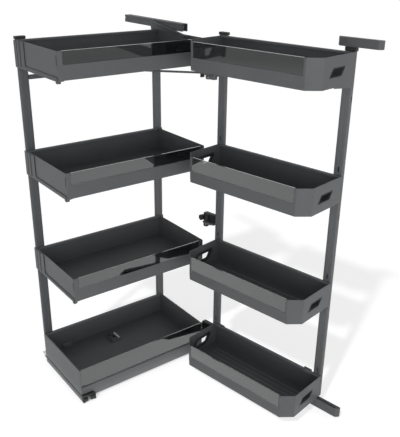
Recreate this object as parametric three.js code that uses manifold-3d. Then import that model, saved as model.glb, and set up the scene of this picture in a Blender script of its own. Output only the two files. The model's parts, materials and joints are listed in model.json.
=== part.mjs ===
// A tall pantry unit for a cabinet with a hinged door: an inner rack on two floor rails and a top guide,
// and a door rack on three side hinges whose link rod draws the inner rack forward. Shown door open.
// Millimetres, +X along the cabinet's width to the hinge side, +Y into the cabinet, +Z up.
import * as THREE from 'three';
import { mergeVertices } from 'three/addons/utils/BufferGeometryUtils.js';
import Module from 'manifold-3d';

const wasm = await Module();
wasm.setup();

// General
const fitGap = 0.3;             // clearance between pieces that seat on each other
const sheet = 1.5;              // tray sheet
const plate = 2;                // bracket and frame sheet
const overrun = 5;              // how far a cutting tool passes its piece
const roundSides = 24;          // facets of a round part
const gridSteps = 1024;         // grid steps in a millimetre

// Tray levels, from the cabinet floor
const levelCount = 4;
const levelPitch = 310;
const baseTrayFloor = 36;       // underside of the lowest inner tray
const doorLevelLift = 10;       // door trays hang this much higher

// Inner trays
const trayLength = 450;
const trayDepth = 250;
const trayHeight = 72;
const trayBand = 38;            // metal front below the glass
const trayPost = 14;            // corner return on the front
const hemWidth = 4;
const hemHeight = 8;
const glassThickness = 4;
const seatLip = 1.2;            // lip of the glass's seat, behind the glass
const seatLipHeight = 5;
const seatDrop = 0.5;           // the seat's shelf lies this far below the band's edge

// Door trays
const doorTrayLength = 415;
const doorTrayDepth = 158;
const doorTrayHeight = 74;
const doorTrayBand = 33;
const doorTrayChamfer = 30;
const doorTrayPost = 6;
const handHoldLength = 54;
const handHoldHeight = 23;
const handHoldFromBack = 37;    // at its top edge
const handHoldSlant = 15;       // its lower edge lies this much further forward
const handHoldDrop = 27;        // rim to the top of the hand-hold
const handHoldRound = 4;

// Uprights
const uprightWidth = 28;
const uprightDepth = 12;
const uprightWall = 1.5;
const uprightRound = 2;
const rightUprightOverhang = 16; // the right inner upright stands out past the trays
const doorUprightOverhang = 14;  // the hinge-side door upright stands out past the trays
const doorUprightFoot = 13;     // height of the hinge-side door upright's lower end
const capHeight = 7.4;
const freeCapHeight = 9.8;
const capOverhang = 1;
const capPlug = 12;

// Arms that carry the three upper inner trays
const armLeg = 17;
const armRise = 13;             // outer leg beside the tray's end wall
const armFoot = 5;
const armFootLength = 9;
const gussetLength = 54;
const gussetDrop = 2;
const armSetback = 3;           // from the tray's front

// Base of the inner rack
const baseBandTop = 47;
const baseBandBottom = 8;
const baseShelf = 20;
const baseWall = 3;             // front and back of the base below the lowest tray
const baseLine = 2;             // dark joint between the base band and the glass above

// Floor rails and the channels that run on them
const railLength = 250;
const railFront = 35;           // rail's front end behind the trays' front
const railFootWidth = 30;
const railFootHeight = 3;
const railWeb = 8;
const railHeadHeight = 6;
const channelWidth = 42;
const channelTop = 22;
const channelBottom = 1;
const channelOutset = 3;        // channel's outer side past the tray's end
const channelFrontOutset = 2;
const endCapDepth = 10.7;
const endCapRise = 2;

// Top guide
const guideWidth = 22;
const guideHeight = 22;
const guideLift = 7;            // above the right upright's top
const guideLength = 317;
const guideFrontGap = 7;        // the guide's front end before the carriage's
const guideSlot = 10;
const carriageReach = 140;      // forward of the upright
const carriageWidth = 8;
const carriageHeight = 10;
const carriageFoot = 4;
const carriageInset = 2;        // the neck stands this far inside the foot
const glideLength = 22;
const rearGlideFromUpright = 40;

// Side hinges of the door rack
const hingeOutset = 24;         // axis past the inner trays' right end
const hingeY = 14;              // axis behind the inner trays' front
const openAngle = 100;          // degrees from shut to the open pose shown
const hingeToTray = 50;
const sideWallToHinge = 17;
const lowHingeLift = 11;        // above the lowest door tray's underside
const middleHingeLift = 28;     // above the third door tray's rim
const topHingeDrop = 54;        // below the top door tray's underside
const hingeHeight = 46;
const hingePlateThick = 3;
const hingePlateFront = 12;
const hingePlateBack = 30;
const hingeLugHeight = 6;
const knuckleRadius = 8;
const pinRadius = 4;
const hingeWebDepth = 6;
const pinKnobRadius = 9;
const pinKnobHeight = 9;

// Bars that guide the door on the free side
const barBack = 61;             // from the free end of the trays back under them
const barReach = 74;            // past the free end of the trays
const barDepth = 14;
const topBarHeight = 21;
const bottomBarHeight = 30;
const barChamfer = 8;
const barSlotWidth = 6;
const barSlotDepth = 12;
const barSlotEnd = 12;

// Link between the racks
const linkDrop = 16;            // below the top inner tray
const linkDoorAlong = 94;       // from the hinge axis along the door rack
const linkDoorOut = 18;
const linkInnerX = 142;
const linkRodRadius = 3;
const linkEyeRadius = 8;
const linkEyeHeight = 6;
const linkPinRadius = 3;
const linkPinHead = 5;
const linkPinHeadHeight = 3;
const linkBracketRise = 5;      // from the eye to the bracket's plate
const linkBracketReach = 8;
const linkBracketDrop = 20;
const crossBarDrop = 10;        // its top below the link
const crossBarHeight = 12;

// Lock inside the lowest inner tray
const lockX = 217;              // from the tray's left end
const lockFromBack = 58;
const lockWidth = 34;
const lockLength = 48;
const lockTab = 9;
const lockPinRadius = 3.5;
const lockPinLength = 33;

// Derived places
const hingeBore = pinRadius + fitGap;
const lowestRim = baseTrayFloor + trayHeight;
const uprightY = trayDepth + fitGap;
const uprightBack = uprightY + uprightDepth;
const rightUprightX = trayLength + rightUprightOverhang - uprightWidth;
const leftRailX = channelWidth / 2 - channelOutset;
const rightRailX = trayLength - leftRailX;
const innerRims = Array.from({ length: levelCount }, (_, i) => lowestRim + (levelCount - 1 - i) * levelPitch);
const doorRims = innerRims.map((rim) => rim + doorLevelLift);
const innerUprightTop = innerRims[0] + fitGap;
const doorUprightTop = doorRims[0] + fitGap;
const guideBottom = innerUprightTop + guideLift;
const carriageFront = uprightY - carriageReach;
const guideFront = carriageFront - guideFrontGap;
const hingeX = trayLength + hingeOutset;
const hingeLevels = [
  doorRims[levelCount - 1] - doorTrayHeight + lowHingeLift,
  doorRims[levelCount - 2] + middleHingeLift,
  doorRims[0] - doorTrayHeight - topHingeDrop,
];
const linkLevel = innerRims[0] - trayHeight - linkDrop;
const crossBarTop = linkLevel - crossBarDrop;
const lockY = trayDepth - lockFromBack;
const guideX = rightUprightX + uprightWidth / 2;
const doorTrayEnd = hingeToTray + doorTrayLength;

const finish = (color, roughness, metalness) => new THREE.MeshStandardMaterial({ color, roughness, metalness });
const coat = finish(0x4b4d50, 0.5, 0.2);
const darkCoat = finish(0x38393b, 0.55, 0.2);
const glass = finish(0x2b2d2f, 0.08, 0);
glass.transparent = true;
glass.opacity = 0.75;
const blackPlastic = finish(0x17181a, 0.5, 0);
const steel = finish(0xb9bcc0, 0.3, 0.9);

// Turns a closed geometry into a solid, its corners on a fine grid so that pieces that should meet do
function solid(geometry) {
  const bare = geometry.clone();
  bare.deleteAttribute('normal');
  bare.deleteAttribute('uv');
  const { array } = bare.getAttribute('position');
  array.forEach((value, i) => { array[i] = Math.round(value * gridSteps) / gridSteps; });
  const merged = mergeVertices(bare);
  const index = merged.getIndex();
  return new wasm.Manifold(new wasm.Mesh({
    numProp: 3,
    vertProperties: new Float32Array(merged.getAttribute('position').array),
    triVerts: new Uint32Array(index.array),
  }));
}

// A box between two values on each axis
function box([x0, x1], [y0, y1], [z0, z1]) {
  const geometry = new THREE.BoxGeometry(x1 - x0, y1 - y0, z1 - z0);
  geometry.translate((x0 + x1) / 2, (y0 + y1) / 2, (z0 + z1) / 2);
  return solid(geometry);
}

function shapeOf(points) {
  return new THREE.Shape(points.map(([u, v]) => new THREE.Vector2(u, v)));
}

// An outline in plan, raised between two heights
function prism(shape, [z0, z1]) {
  const geometry = new THREE.ExtrudeGeometry(shape, { depth: z1 - z0, bevelEnabled: false, curveSegments: 4 });
  geometry.translate(0, 0, z0);
  return solid(geometry);
}

// A shape seen from the right end, in Y and Z, drawn out between two X values
function shapeAlongX(shape, [x0, x1]) {
  const geometry = new THREE.ExtrudeGeometry(shape, { depth: x1 - x0, bevelEnabled: false, curveSegments: 4 });
  const toX = new THREE.Matrix4().makeBasis(
    new THREE.Vector3(0, 1, 0),
    new THREE.Vector3(0, 0, 1),
    new THREE.Vector3(1, 0, 0),
  );
  geometry.applyMatrix4(toX);
  geometry.translate(x0, 0, 0);
  return solid(geometry);
}

function profileAlongX(points, span) {
  return shapeAlongX(shapeOf(points), span);
}

// An outline seen from the front, given as X and Z, drawn out between two Y values
function profileAlongY(points, [y0, y1]) {
  const geometry = new THREE.ExtrudeGeometry(shapeOf(points), { depth: y1 - y0, bevelEnabled: false });
  geometry.rotateX(Math.PI / 2);
  geometry.translate(0, y1, 0);
  return solid(geometry);
}

// An upright cylinder
function post(x, y, radius, [z0, z1]) {
  const geometry = new THREE.CylinderGeometry(radius, radius, z1 - z0, roundSides);
  geometry.rotateX(Math.PI / 2);
  geometry.translate(x, y, (z0 + z1) / 2);
  return solid(geometry);
}

// A level cylinder between two places in plan
function levelRod([x0, y0], [x1, y1], z, radius) {
  const length = Math.hypot(x1 - x0, y1 - y0);
  const geometry = new THREE.CylinderGeometry(radius, radius, length, roundSides / 2);
  geometry.rotateZ(-Math.PI / 2);
  geometry.rotateZ(Math.atan2(y1 - y0, x1 - x0));
  geometry.translate((x0 + x1) / 2, (y0 + y1) / 2, z);
  return solid(geometry);
}

function join(first, ...others) {
  return others.reduce((sum, next) => sum.add(next), first);
}

function cut(first, ...tools) {
  return tools.reduce((rest, tool) => rest.subtract(tool), first);
}

function addPiece(group, name, body, material) {
  const { vertProperties, triVerts } = body.getMesh();
  const geometry = new THREE.BufferGeometry();
  geometry.setAttribute('position', new THREE.BufferAttribute(new Float32Array(vertProperties), 3));
  geometry.setIndex(new THREE.BufferAttribute(new Uint32Array(triVerts), 1));
  const flat = geometry.toNonIndexed();
  flat.computeVertexNormals();
  const mesh = new THREE.Mesh(flat, material);
  mesh.name = name;
  group.add(mesh);
}

// An outline whose corners are rounded
function roundedOutline(points, radius) {
  const corners = points.map(([u, v]) => new THREE.Vector2(u, v));
  const shape = new THREE.Shape();
  corners.forEach((corner, i) => {
    const before = corners.at(i - 1).clone().sub(corner).setLength(radius).add(corner);
    const after = corners[(i + 1) % corners.length].clone().sub(corner).setLength(radius).add(corner);
    if (i === 0) shape.moveTo(before.x, before.y);
    else shape.lineTo(before.x, before.y);
    shape.quadraticCurveTo(corner.x, corner.y, after.x, after.y);
  });
  return shape;
}

// Uprights are tubes, open at both ends
function upright(x, y, [z0, z1]) {
  const outer = roundedOutline([
    [x, y], [x + uprightWidth, y], [x + uprightWidth, y + uprightDepth], [x, y + uprightDepth],
  ], uprightRound);
  const bore = box(
    [x + uprightWall, x + uprightWidth - uprightWall],
    [y + uprightWall, y + uprightDepth - uprightWall],
    [z0 - overrun, z1 + overrun],
  );
  return cut(prism(outer, [z0, z1]), bore);
}

// A cap sits on an upright and plugs into it
function uprightCap(x, y, top, height) {
  const head = box(
    [x - capOverhang, x + uprightWidth + capOverhang],
    [y - capOverhang + fitGap, y + uprightDepth + capOverhang],
    [top + fitGap, top + fitGap + height],
  );
  const inset = uprightWall + fitGap;
  const plug = box(
    [x + inset, x + uprightWidth - inset],
    [y + inset, y + uprightDepth - inset],
    [top - capPlug, top + 2 * fitGap],
  );
  return join(head, plug);
}

// The space inside a tray, seen from its end: the back wall has a hem along its top
function trayHollow([front, back], [bottom, rim]) {
  return [
    [front, bottom], [back - sheet, bottom], [back - sheet, rim - hemHeight],
    [back - hemWidth, rim - hemHeight], [back - hemWidth, rim + overrun], [front, rim + overrun],
  ];
}

// A tray of folded sheet: back and ends to the rim, a low front with a seat for the glass
function innerTray(rim, band, front) {
  const bottom = rim - trayHeight;
  const glassSpan = [trayPost, trayLength - trayPost];
  const shell = box([0, trayLength], [front, trayDepth], [bottom, rim]);
  const hollow = profileAlongX(
    trayHollow([front + sheet, trayDepth], [bottom + sheet, rim]),
    [sheet, trayLength - sheet],
  );
  const window = box(glassSpan, [front - overrun, front + sheet + overrun], [bottom + band, rim + overrun]);
  return join(cut(shell, hollow, window), glassSeat(glassSpan, front, bottom + band));
}

// Folded shelf and lip behind the front's top edge, which hold the glass
function glassSeat(span, front, level) {
  const back = front + glassThickness + fitGap;
  const top = level - seatDrop;
  return profileAlongX([
    [front + sheet / 2, top - sheet], [back + seatLip, top - sheet], [back + seatLip, level + seatLipHeight],
    [back, level + seatLipHeight], [back, top], [front + sheet / 2, top],
  ], span);
}

function innerGlass(rim, band, front) {
  return box(
    [trayPost + fitGap, trayLength - trayPost - fitGap],
    [front, front + glassThickness],
    [rim - trayHeight + band + fitGap, rim],
  );
}

// Seen from its end, an arm is a plate with a tall gusset at the upright and a foot in front
function armSide(rim, rear) {
  const bottom = rim - trayHeight;
  const low = bottom - fitGap - plate;
  const heel = armSetback + armFootLength;
  const gusset = trayDepth - gussetLength;
  return [
    [armSetback, low - armFoot], [heel, low - armFoot], [heel, low], [rear, low],
    [rear, rim - gussetDrop], [gusset, rim - gussetDrop], [gusset, bottom + armRise], [armSetback, bottom + armRise],
  ];
}

// The leg that carries the tray butts on the arm's side
function armShelf(rim) {
  const low = rim - trayHeight - fitGap - plate;
  const heel = armSetback + armFootLength;
  return [
    [armSetback, low - armFoot], [heel, low - armFoot], [heel, low],
    [trayDepth, low], [trayDepth, low + plate], [armSetback, low + plate],
  ];
}

function leftArm(rim) {
  const side = profileAlongX(armSide(rim, uprightBack), [-fitGap - plate, -fitGap]);
  return join(side, profileAlongX(armShelf(rim), [-fitGap, armLeg]));
}

// The right upright stands past the tray's end, so this arm has a flange in front of it
function rightArm(rim) {
  const inner = trayLength + fitGap;
  const side = profileAlongX(armSide(rim, trayDepth), [inner, inner + plate]);
  const flange = box(
    [inner + plate, rightUprightX + uprightWidth],
    [trayDepth - plate, trayDepth],
    [rim - trayHeight, rim - gussetDrop],
  );
  return join(side, profileAlongX(armShelf(rim), [trayLength - armLeg, inner]), flange);
}

// Base of the inner rack: cheeks beside the lowest tray, a band in front and shelves
function baseFrame() {
  const left = -fitGap - plate;
  const right = trayLength + fitGap + plate;
  const shelf = baseTrayFloor - fitGap;
  const block = box([left, right], [0, trayDepth], [baseBandBottom, lowestRim]);
  const traySpace = profileAlongX([
    [-overrun, baseBandTop], [plate, baseBandTop], [plate, shelf], [trayDepth + overrun, shelf],
    [trayDepth + overrun, lowestRim + overrun], [-overrun, lowestRim + overrun],
  ], [left + plate, right - plate]);
  const opening = box(
    [baseShelf, trayLength - baseShelf],
    [baseWall, trayDepth - baseWall],
    [baseBandBottom - overrun, shelf + overrun],
  );
  const innerEdge = channelWidth - channelOutset + fitGap;
  const channelWays = [[left - overrun, innerEdge], [trayLength - innerEdge, right + overrun]].map((span) => box(
    span,
    [-overrun, trayDepth + overrun],
    [baseBandBottom - overrun, channelTop + fitGap],
  ));
  return cut(block, traySpace, opening, ...channelWays);
}

// A floor rail: foot, web and head
function floorRail(x) {
  const foot = railFootWidth / 2;
  const web = railWeb / 2;
  const head = channelWidth / 2 - plate - fitGap;
  const top = channelTop - plate - fitGap;
  const right = [
    [x + foot, 0], [x + foot, railFootHeight], [x + web, railFootHeight],
    [x + web, top - railHeadHeight], [x + head, top - railHeadHeight], [x + head, top],
  ];
  const left = right.map(([u, z]) => [2 * x - u, z]).reverse();
  return profileAlongY([...right, ...left], [railFront, railFront + railLength]);
}

// The channel that runs over a floor rail, open below
function runnerChannel(x) {
  const half = channelWidth / 2;
  const outline = [
    [x - half, channelBottom], [x - half + plate, channelBottom],
    [x - half + plate, channelTop - plate], [x + half - plate, channelTop - plate],
    [x + half - plate, channelBottom], [x + half, channelBottom],
    [x + half, channelTop], [x - half, channelTop],
  ];
  return profileAlongY(outline, [-channelFrontOutset, trayDepth]);
}

// A moulded cap frames the channel's front end and lets the rail pass through
function endCap(x) {
  const half = channelWidth / 2;
  const back = -channelFrontOutset - fitGap;
  const body = box([x - half, x + half], [back - endCapDepth, back], [channelBottom, channelTop + endCapRise]);
  const mouth = box(
    [x - half + plate, x + half - plate],
    [back - endCapDepth - overrun, back + overrun],
    [channelBottom - overrun, channelTop - plate],
  );
  return cut(body, mouth);
}

// The top guide is a channel with a slot below
function topGuide() {
  const half = guideWidth / 2;
  const top = guideBottom + guideHeight;
  const outline = [
    [guideX - guideSlot / 2, guideBottom], [guideX - guideSlot / 2, guideBottom + plate],
    [guideX - half + plate, guideBottom + plate], [guideX - half + plate, top - plate],
    [guideX + half - plate, top - plate], [guideX + half - plate, guideBottom + plate],
    [guideX + guideSlot / 2, guideBottom + plate], [guideX + guideSlot / 2, guideBottom],
    [guideX + half, guideBottom], [guideX + half, top], [guideX - half, top], [guideX - half, guideBottom],
  ];
  return profileAlongY(outline, [guideFront, guideFront + guideLength]);
}

const carriageBottom = guideBottom + (guideHeight - carriageHeight) / 2;
const carriageSpan = [guideX - carriageWidth / 2, guideX + carriageWidth / 2];

// The carriage stands on the right upright and reaches forward inside the guide
function topCarriage() {
  const base = innerUprightTop + fitGap;
  const top = carriageBottom + carriageHeight;
  const foot = box([rightUprightX, rightUprightX + uprightWidth], [uprightY, uprightBack], [base, base + carriageFoot]);
  const neckBack = uprightBack - carriageInset;
  const neckFront = uprightY + carriageInset;
  const arm = profileAlongX([
    [neckFront, base + carriageFoot / 2], [neckBack, base + carriageFoot / 2], [neckBack, top],
    [carriageFront, top], [carriageFront, carriageBottom], [neckFront, carriageBottom],
  ], carriageSpan);
  return join(foot, arm);
}

// A nylon glide rides inside the guide, on the carriage
function glide(front) {
  const half = guideWidth / 2 - plate - fitGap;
  const shoe = box(
    [guideX - half, guideX + half],
    [front, front + glideLength],
    [guideBottom + plate + fitGap, guideBottom + guideHeight - plate - fitGap],
  );
  const way = box(
    [carriageSpan[0] - fitGap, carriageSpan[1] + fitGap],
    [front - overrun, front + glideLength + overrun],
    [carriageBottom - fitGap, carriageBottom + carriageHeight + fitGap],
  );
  return cut(shoe, way);
}

function crossBar() {
  return box(
    [uprightWidth + fitGap, rightUprightX - fitGap],
    [uprightY, uprightBack],
    [crossBarTop - crossBarHeight, crossBarTop],
  );
}

const linkInnerY = uprightY + uprightDepth / 2;
const eyeSpan = [linkLevel - linkEyeHeight / 2, linkLevel + linkEyeHeight / 2];

// A headed pin stands on the cross bar, just under the rod's eye
function linkInnerPin() {
  return post(linkInnerX, linkInnerY, linkPinHead, [crossBarTop + fitGap, eyeSpan[0] - fitGap]);
}

// The lowest tray is locked to the base by a plate and a pin
function lockPlate() {
  const floor = lowestRim - trayHeight + sheet + fitGap;
  const left = lockX - lockWidth / 2;
  return profileAlongY([
    [left, floor], [left + lockWidth, floor], [left + lockWidth, floor + plate],
    [left + plate, floor + plate], [left + plate, floor + lockTab], [left, floor + lockTab],
  ], [lockY - lockLength / 2, lockY + lockLength / 2]);
}

function lockPin() {
  const floor = lowestRim - trayHeight + sheet + 2 * fitGap + plate;
  const x = lockX + lockWidth / 2 - lockPinRadius;
  return levelRod([x, lockY - lockPinLength / 2], [x, lockY + lockPinLength / 2], floor + lockPinRadius, lockPinRadius);
}

// An outline moved inwards shortens each side of its 45 degree corners by this share of the move
const insetShare = 2 - Math.SQRT2;

// Pieces of the door rack are drawn with the hinge axis at the origin, +X to the free end, -Y to the trays
function doorTrayOutline(inset, back) {
  const x0 = hingeToTray + inset;
  const x1 = doorTrayEnd - inset;
  const front = inset - doorTrayDepth;
  const corner = doorTrayChamfer - inset * insetShare;
  return shapeOf([
    [x0, back], [x0, front + corner], [x0 + corner, front],
    [x1 - corner, front], [x1, front + corner], [x1, back],
  ]);
}

// A hand-hold in a tray's end, seen from that end
function handHoldOutline(top) {
  const low = top - handHoldHeight;
  const back = -handHoldFromBack;
  const front = back - handHoldLength;
  return roundedOutline([
    [back, top], [front, top], [front - handHoldSlant, low], [back - handHoldSlant, low],
  ], handHoldRound);
}

const doorGlassSpan = [hingeToTray + doorTrayChamfer + doorTrayPost, doorTrayEnd - doorTrayChamfer - doorTrayPost];

function doorTray(rim) {
  const bottom = rim - doorTrayHeight;
  const front = -doorTrayDepth;
  const shell = prism(doorTrayOutline(0, 0), [bottom, rim]);
  const plan = prism(doorTrayOutline(sheet, overrun), [bottom - overrun, rim + 2 * overrun]);
  const section = profileAlongX(
    trayHollow([front - overrun, 0], [bottom + sheet, rim]),
    [hingeToTray - overrun, doorTrayEnd + overrun],
  );
  const window = box(doorGlassSpan, [front - overrun, front + sheet + overrun], [bottom + doorTrayBand, rim + overrun]);
  const handHold = handHoldOutline(rim - handHoldDrop);
  const holds = [hingeToTray, doorTrayEnd].map((x) => shapeAlongX(handHold, [x - overrun, x + overrun]));
  const tray = cut(shell, plan.intersect(section), window, ...holds);
  return join(tray, glassSeat(doorGlassSpan, front, bottom + doorTrayBand));
}

function doorGlass(rim) {
  return box(
    [doorGlassSpan[0] + fitGap, doorGlassSpan[1] - fitGap],
    [-doorTrayDepth, glassThickness - doorTrayDepth],
    [rim - doorTrayHeight + doorTrayBand + fitGap, rim],
  );
}

// A bar with bevelled ends and a slot for the door's stud
function guideBar([z0, z1], [y0, y1], slotLevel) {
  const x0 = doorTrayEnd - barBack;
  const x1 = doorTrayEnd + barReach;
  const outline = shapeOf([
    [x0, y0 + barChamfer], [x0 + barChamfer, y0], [x1 - barChamfer, y0],
    [x1, y0 + barChamfer], [x1, y1], [x0, y1],
  ]);
  const middle = (y0 + y1) / 2;
  const slot = box(
    [doorTrayEnd + plate, x1 - barSlotEnd],
    [middle - barSlotWidth / 2, middle + barSlotWidth / 2],
    slotLevel,
  );
  return cut(prism(outline, [z0, z1]), slot);
}

function topBar() {
  const bottom = doorUprightTop + freeCapHeight + 2 * fitGap;
  const back = fitGap + uprightDepth;
  return guideBar([bottom, bottom + topBarHeight], [back - barDepth, back], [bottom - overrun, bottom + barSlotDepth]);
}

function bottomBar() {
  const top = doorRims[levelCount - 1] - doorTrayHeight - fitGap;
  return guideBar([top - bottomBarHeight, top], [-barDepth, 0], [top - barSlotDepth, top + overrun]);
}

// Each hinge: a plate on the cabinet's side, an arm on the door upright and a pin with a knob
function hingeLevel(base) {
  const lower = base + pinKnobHeight + fitGap;
  const upper = base + hingeHeight;
  return {
    lower,
    upper,
    knuckle: [lower + hingeLugHeight + fitGap, upper - hingeLugHeight - fitGap],
  };
}

function hingePlate(base) {
  const { lower, upper, knuckle } = hingeLevel(base);
  const wall = hingeX + sideWallToHinge;
  const leaf = box([wall - hingePlateThick, wall], [hingeY - hingePlateFront, hingeY + hingePlateBack], [lower, upper]);
  const bridge = box([hingeX, wall], [hingeY - pinRadius, hingeY + knuckleRadius], knuckle);
  const barrel = post(hingeX, hingeY, knuckleRadius, knuckle);
  const bore = post(hingeX, hingeY, hingeBore, [lower - overrun, upper + overrun]);
  return cut(join(leaf, bridge, barrel), bore);
}

function hingeArm(base) {
  const { lower, upper } = hingeLevel(base);
  const reach = hingeToTray - doorUprightOverhang - fitGap;
  const webStart = knuckleRadius + 2 * fitGap;
  const lugs = [[lower, lower + hingeLugHeight], [upper - hingeLugHeight, upper]].map((span) => join(
    post(0, 0, knuckleRadius, span),
    box([0, reach], [-pinRadius, hingeWebDepth + pinRadius], span),
  ));
  const web = box([webStart, reach], [pinRadius, hingeWebDepth + pinRadius], [lower, upper]);
  const bore = post(0, 0, hingeBore, [lower - overrun, upper + overrun]);
  return cut(join(web, ...lugs), bore);
}

function hingePin(base) {
  const { upper } = hingeLevel(base);
  return join(
    post(hingeX, hingeY, pinRadius, [base, upper]),
    post(hingeX, hingeY, pinKnobRadius, [base, base + pinKnobHeight]),
  );
}

// The link's bracket is an angle that reaches from the door upright under the top tray
function linkBracket() {
  const level = eyeSpan[1] + linkBracketRise;
  const angle = profileAlongX([
    [-linkDoorOut - linkBracketReach, level], [-fitGap - plate, level], [-fitGap - plate, level - linkBracketDrop],
    [-fitGap, level - linkBracketDrop], [-fitGap, level + plate], [-linkDoorOut - linkBracketReach, level + plate],
  ], [hingeToTray - doorUprightOverhang, linkDoorAlong + linkBracketReach]);
  const bore = post(linkDoorAlong, -linkDoorOut, linkPinRadius + fitGap, [level - overrun, level + overrun]);
  return cut(angle, bore);
}

// The pin hangs in the bracket and holds the rod's eye
function linkDoorPin() {
  const level = eyeSpan[1] + linkBracketRise + plate;
  const low = eyeSpan[0] - fitGap;
  return join(
    post(linkDoorAlong, -linkDoorOut, linkPinRadius, [low - linkPinHeadHeight, level + fitGap]),
    post(linkDoorAlong, -linkDoorOut, linkPinHead, [level + fitGap, level + fitGap + linkPinHeadHeight]),
    post(linkDoorAlong, -linkDoorOut, linkPinHead, [low - linkPinHeadHeight, low]),
  );
}

const shutAngle = THREE.MathUtils.degToRad(openAngle - 180);
const linkDoorPlace = new THREE.Vector2(linkDoorAlong, -linkDoorOut)
  .rotateAround(new THREE.Vector2(), shutAngle)
  .add(new THREE.Vector2(hingeX, hingeY));

// The rod has a bored eye over the door pin and a plain eye over the inner pin
function linkRod() {
  const door = [linkDoorPlace.x, linkDoorPlace.y];
  const inner = [linkInnerX, linkInnerY];
  const shaft = levelRod(door, inner, linkLevel, linkRodRadius);
  const eyes = [door, inner].map(([x, y]) => post(x, y, linkEyeRadius, eyeSpan));
  const bore = post(door[0], door[1], linkPinRadius + fitGap, [eyeSpan[0] - overrun, eyeSpan[1] + overrun]);
  return cut(join(shaft, ...eyes), bore);
}

function buildInnerRack(rack) {
  addPiece(rack, 'inner_upright_left', upright(0, uprightY, [channelTop + fitGap, innerUprightTop]), coat);
  addPiece(rack, 'inner_upright_right', upright(rightUprightX, uprightY, [channelTop + fitGap, innerUprightTop]), coat);
  addPiece(rack, 'inner_upright_cap', uprightCap(0, uprightY, innerUprightTop, capHeight), blackPlastic);
  innerRims.forEach((rim, i) => {
    const lowest = i === levelCount - 1;
    const band = lowest ? baseBandTop - baseTrayFloor + baseLine : trayBand;
    const front = lowest ? plate + fitGap : 0;
    addPiece(rack, `inner_tray_${i + 1}`, innerTray(rim, band, front), coat);
    addPiece(rack, `inner_glass_${i + 1}`, innerGlass(rim, band, front), glass);
    if (!lowest) {
      addPiece(rack, `tray_arm_left_${i + 1}`, leftArm(rim), coat);
      addPiece(rack, `tray_arm_right_${i + 1}`, rightArm(rim), coat);
    }
  });
  addPiece(rack, 'inner_base_frame', baseFrame(), coat);
  addPiece(rack, 'inner_cross_bar', crossBar(), darkCoat);
  addPiece(rack, 'tray_lock_plate', lockPlate(), blackPlastic);
  addPiece(rack, 'tray_lock_pin', lockPin(), steel);
  addPiece(rack, 'link_pin_inner', linkInnerPin(), steel);
  addPiece(rack, 'top_carriage', topCarriage(), darkCoat);
  addPiece(rack, 'top_glide_front', glide(carriageFront), blackPlastic);
  addPiece(rack, 'top_glide_rear', glide(trayDepth - rearGlideFromUpright), blackPlastic);
  [['left', leftRailX], ['right', rightRailX]].forEach(([side, x]) => {
    addPiece(rack, `runner_channel_${side}`, runnerChannel(x), coat);
    addPiece(rack, `runner_end_cap_${side}`, endCap(x), blackPlastic);
  });
}

function buildFixedPieces(fixed) {
  addPiece(fixed, 'floor_rail_left', floorRail(leftRailX), steel);
  addPiece(fixed, 'floor_rail_right', floorRail(rightRailX), steel);
  addPiece(fixed, 'top_guide_rail', topGuide(), darkCoat);
  ['bottom', 'middle', 'top'].forEach((level, i) => {
    addPiece(fixed, `hinge_plate_${level}`, hingePlate(hingeLevels[i]), darkCoat);
    addPiece(fixed, `hinge_pin_${level}`, hingePin(hingeLevels[i]), steel);
  });
}

function buildDoorRack(rack) {
  const freeUprightX = doorTrayEnd - uprightWidth;
  const hingeUprightX = hingeToTray - doorUprightOverhang;
  const span = [doorUprightFoot, doorUprightTop];
  const freeSpan = [doorRims[levelCount - 1] - doorTrayHeight, doorUprightTop];
  addPiece(rack, 'door_upright_hinge_side', upright(hingeUprightX, fitGap, span), coat);
  addPiece(rack, 'door_upright_free_side', upright(freeUprightX, fitGap, freeSpan), coat);
  addPiece(rack, 'door_cap_hinge_side', uprightCap(hingeUprightX, fitGap, doorUprightTop, capHeight), blackPlastic);
  addPiece(rack, 'door_cap_free_side', uprightCap(freeUprightX, fitGap, doorUprightTop, freeCapHeight), blackPlastic);
  doorRims.forEach((rim, i) => {
    addPiece(rack, `door_tray_${i + 1}`, doorTray(rim), coat);
    addPiece(rack, `door_glass_${i + 1}`, doorGlass(rim), glass);
  });
  addPiece(rack, 'door_bar_top', topBar(), darkCoat);
  addPiece(rack, 'door_bar_bottom', bottomBar(), darkCoat);
  ['bottom', 'middle', 'top'].forEach((level, i) => {
    addPiece(rack, `hinge_arm_${level}`, hingeArm(hingeLevels[i]), darkCoat);
  });
  addPiece(rack, 'link_bracket', linkBracket(), darkCoat);
  addPiece(rack, 'link_pin_door', linkDoorPin(), steel);
}

// The origin is on the left floor rail's underside, at its middle
const unit = new THREE.Group();
unit.position.set(-leftRailX, -railFront - railLength / 2, 0);

const fixedPieces = new THREE.Group();
buildFixedPieces(fixedPieces);
const innerRack = new THREE.Group();
buildInnerRack(innerRack);
addPiece(innerRack, 'link_rod', linkRod(), steel);
const doorRack = new THREE.Group();
buildDoorRack(doorRack);
doorRack.position.set(hingeX, hingeY, 0);
doorRack.rotation.z = shutAngle;
unit.add(fixedPieces, innerRack, doorRack);

const pantry = new THREE.Group();
pantry.add(unit);

export default pantry;
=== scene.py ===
"""Dresses a tall pantry pull-out's fixed frame in coated sheet, smoked glass, moulded caps and plated pins."""

import json
from math import cos, pi, radians, sin

import bmesh
import bpy
from bpy.props import FloatProperty, FloatVectorProperty, PointerProperty
from mathutils import Matrix, Vector


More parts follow.
